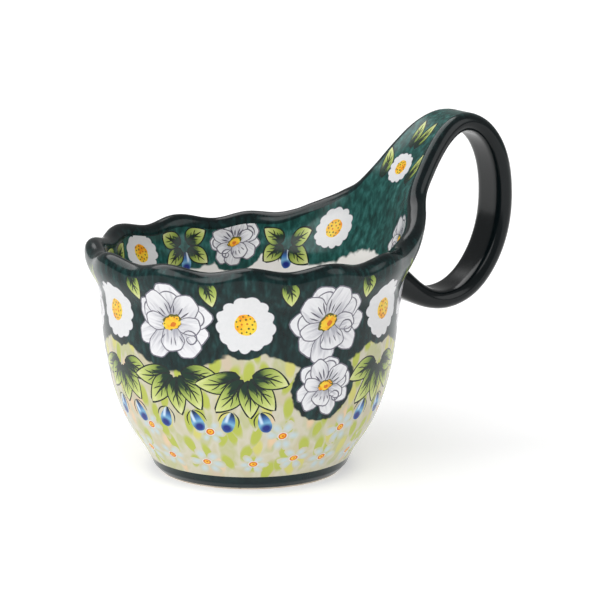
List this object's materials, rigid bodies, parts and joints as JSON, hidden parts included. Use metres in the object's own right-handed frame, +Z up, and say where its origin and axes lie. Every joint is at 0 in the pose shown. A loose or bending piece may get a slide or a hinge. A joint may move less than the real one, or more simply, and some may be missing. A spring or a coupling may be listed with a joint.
{
  "type": "stoneware mug",
  "caption": "Rounded stoneware mug with a scalloped rolled rim, drawn up on one side into a tall loop handle that curves back to the wall.",
  "frame": {"origin": "middle of the foot ring's resting face", "axes": "+Z up along the bowl's axis, +X towards the handle, and the mug is symmetric across the XZ plane"},
  "size_m": [0.1749, 0.1222, 0.1283],
  "materials": {
    "stoneware": "bare fired stoneware",
    "slip": "fired slip",
    "outer_glaze": "painted under clear gloss glaze",
    "liner_glaze": "cream gloss glaze with a painted band",
    "dark_glaze": "dark green gloss glaze"
  },
  "bodies": {
    "root": {"bowl_body": "stoneware", "foot_ring": "stoneware", "handle_loop": "stoneware", "upper_slip_joint": "slip", "lower_slip_joint": "slip", "outer_glaze": "outer_glaze", "liner_glaze": "liner_glaze", "handle_glaze": "dark_glaze", "foot_glaze": "dark_glaze"}
  },
  "joints": []
}
